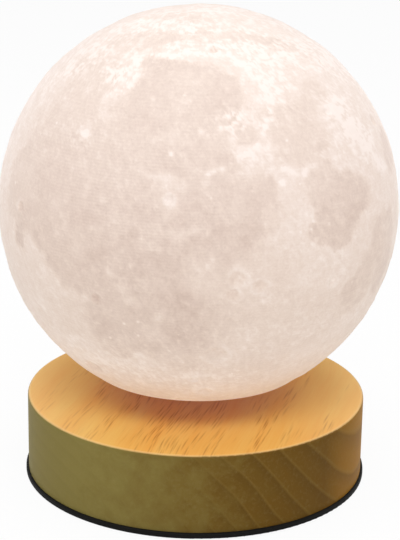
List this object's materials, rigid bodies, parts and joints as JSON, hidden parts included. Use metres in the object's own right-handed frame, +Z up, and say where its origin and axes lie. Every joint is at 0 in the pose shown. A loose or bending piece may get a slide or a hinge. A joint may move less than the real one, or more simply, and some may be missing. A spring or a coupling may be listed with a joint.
{
  "type": "moon lamp",
  "caption": "Levitating moon lamp: a hollow printed moon globe with craters that floats and turns above a round turned wooden base.",
  "frame": {"origin": "centre of the underside of the rubber feet, on the surface the lamp stands on", "axes": "+Z up through the globe's centre, front of the globe's map towards -Y, power inlet at the back towards +Y, +X to the viewer's right"},
  "size_m": [0.15, 0.15, 0.1817],
  "materials": {
    "wood_body": "satin oiled wood, honey-coloured straight-grained top and darker side",
    "moon_shell": "matt printed plastic, warm off-white, glowing when lit",
    "black_cover": "fine-textured black moulding",
    "foot_rubber": "matt",
    "steel_screws": "zinc-plated",
    "black_plastic": "moulded",
    "ferrite": "sintered, matt",
    "ivory_plastic": "moulded",
    "copper_coil": "enamelled copper wire",
    "soft_iron": "turned, plain",
    "circuit_board": "green solder mask on glass fibre",
    "chips": "moulded packages",
    "capacitors": "sleeved cans",
    "nickel": "nickel-plated",
    "button_metal": "satin",
    "magnet_nickel": "nickel-plated",
    "white_plastic": "moulded",
    "light_board": "white solder mask",
    "light_emitters": "phosphor-covered emitters",
    "diffuser": "opal, frosted"
  },
  "bodies": {
    "base": {"wood_body": "wood_body", "bottom_cover": "black_cover", "rubber_feet": "foot_rubber", "cover_screws": "steel_screws", "coil_frame": "black_plastic", "frame_screws": "steel_screws", "ring_magnet": "ferrite", "coil_bobbins": "ivory_plastic", "coil_windings": "copper_coil", "coil_cores": "soft_iron", "sending_ferrite": "ferrite", "sending_coil": "copper_coil", "hall_board": "circuit_board", "hall_sensors": "chips", "control_board": "circuit_board", "capacitors": "capacitors", "driver_chips": "chips", "choke": "ferrite", "inlet_housing": "black_plastic", "inlet_pin": "nickel", "button_bezel": "nickel", "button_switch": "black_plastic"},
    "button": {"button_cap": "button_metal", "button_plunger": "black_plastic"},
    "floater": {"float_magnet": "magnet_nickel"},
    "globe": {"moon_shell": "moon_shell", "shell_cap": "white_plastic", "cap_screws": "steel_screws", "magnet_lid": "white_plastic", "receiving_coil": "copper_coil", "receiving_ferrite": "ferrite", "receiver_board": "circuit_board", "receiver_parts": "chips", "lower_spacers": "ivory_plastic", "upper_spacers": "ivory_plastic", "light_board": "light_board", "light_emitters": "light_emitters", "diffuser": "diffuser", "board_screws": "steel_screws"}
  },
  "joints": [
    {"name": "globe_lift", "type": "slide", "parent": "base", "child": "floater", "axis": [0, 0, 1], "range_m": [0, 0.06]},
    {"name": "globe_spin", "type": "hinge", "parent": "floater", "child": "globe", "pos_m": [0, 0, 0.05], "axis": [0, 0, 1], "continuous": true},
    {"name": "button_press", "type": "slide", "parent": "base", "child": "button", "axis": [0.4067, -0.9135, 0], "range_m": [0, 0.0008], "stiffness_N_per_m": 800, "springref_m": -0.0008}
  ]
}
